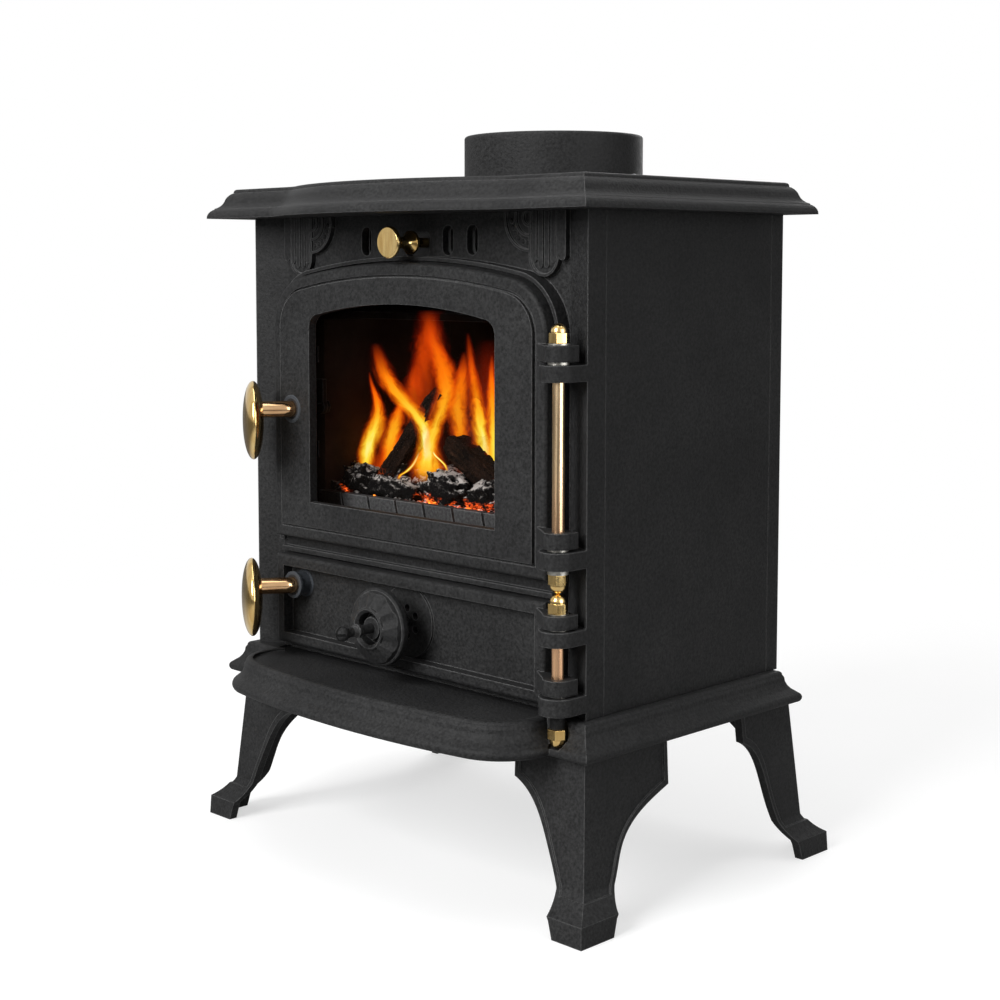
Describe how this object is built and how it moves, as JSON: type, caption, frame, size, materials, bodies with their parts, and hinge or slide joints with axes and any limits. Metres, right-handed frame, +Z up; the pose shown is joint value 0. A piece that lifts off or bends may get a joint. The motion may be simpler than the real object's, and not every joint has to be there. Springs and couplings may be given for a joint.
{
  "type": "wood stove",
  "caption": "Cast iron wood stove on splayed legs, with a bowed hearth, an arched glazed door, an ash door with a spinner air valve and a round flue collar.",
  "frame": {"origin": "floor level, at the middle of the stove's plan, under the centre of its bounding box", "axes": "+X to the hinge side (the right as seen from the front), +Y to the back, +Z up"},
  "size_m": [0.4442, 0.3537, 0.5971],
  "materials": {
    "black_iron": "matt black stove paint over sand-cast iron",
    "polished_brass": "polished",
    "satin_brass": "satin, drawn rod",
    "copper_toned_brass": "satin, heat-tinted",
    "bright_steel": "zinc-plated, dulled",
    "sheet_steel": "black sheet steel",
    "rope_seal": "woven glass-fibre rope and tape",
    "ceramic_glass": "clear heat-proof ceramic glass",
    "firebrick": "sooted fireclay brick",
    "charcoal": "burning charcoal with pale ash",
    "charred_wood": "charred split logs"
  },
  "bodies": {
    "stove_body": {"base_plate": "black_iron", "leg_front_left": "black_iron", "leg_front_right": "black_iron", "leg_rear_left": "black_iron", "leg_rear_right": "black_iron", "leg_bolts": "bright_steel", "side_panel_left": "black_iron", "side_panel_right": "black_iron", "back_panel": "black_iron", "front_panel": "black_iron", "top_plate": "black_iron", "flue_collar": "black_iron", "collar_bolts": "bright_steel", "tie_rods": "bright_steel", "upper_hinge_rod": "satin_brass", "lower_hinge_rod": "satin_brass", "upper_hinge_nuts": "polished_brass", "lower_hinge_nuts": "polished_brass", "hinge_washers": "black_iron", "grate_frame": "black_iron", "grate": "black_iron", "firebrick_left": "firebrick", "firebrick_right": "firebrick", "firebrick_rear": "firebrick", "baffle_plate": "black_iron", "log_guard": "black_iron", "ember_bed": "charcoal", "log_left": "charred_wood", "log_right": "charred_wood", "ash_pan": "sheet_steel", "slider_rails": "sheet_steel", "front_shelf": "black_iron", "rod_sleeve": "black_iron"},
    "main_door": {"main_door": "black_iron", "main_door_rope": "rope_seal", "glass_gasket": "rope_seal", "door_glass": "ceramic_glass", "glass_clips": "bright_steel", "clip_screws": "bright_steel"},
    "main_handle": {"main_handle_stem": "copper_toned_brass", "main_handle_disc": "polished_brass", "main_handle_catch": "black_iron", "main_handle_nut": "bright_steel"},
    "ash_door": {"ash_door": "black_iron", "ash_door_rope": "rope_seal", "spinner_stud": "black_iron"},
    "ash_handle": {"ash_handle_stem": "copper_toned_brass", "ash_handle_disc": "polished_brass", "ash_handle_catch": "black_iron", "ash_handle_nut": "bright_steel"},
    "spinner": {"spinner_wheel": "black_iron"},
    "air_slider": {"air_slider": "sheet_steel", "air_knob": "polished_brass"}
  },
  "joints": [
    {"name": "main_door_hinge", "type": "hinge", "parent": "stove_body", "child": "main_door", "pos_m": [0.1795, -0.1113, 0.36], "axis": [0, 0, 1], "range_deg": [0, 110]},
    {"name": "ash_door_hinge", "type": "hinge", "parent": "stove_body", "child": "ash_door", "pos_m": [0.1795, -0.1113, 0.2], "axis": [0, 0, 1], "range_deg": [0, 110]},
    {"name": "main_handle_turn", "type": "hinge", "parent": "main_door", "child": "main_handle", "pos_m": [-0.133, -0.106, 0.366], "axis": [0, -1, 0], "range_deg": [0, 90]},
    {"name": "ash_handle_turn", "type": "hinge", "parent": "ash_door", "child": "ash_handle", "pos_m": [-0.133, -0.106, 0.2145], "axis": [0, -1, 0], "range_deg": [0, 90]},
    {"name": "spinner_turn", "type": "hinge", "parent": "ash_door", "child": "spinner", "pos_m": [0, -0.126, 0.2006], "axis": [0, -1, 0], "continuous": true},
    {"name": "air_slide", "type": "slide", "parent": "stove_body", "child": "air_slider", "axis": [1, 0, 0], "range_m": [-0.0125, 0.0065]}
  ]
}
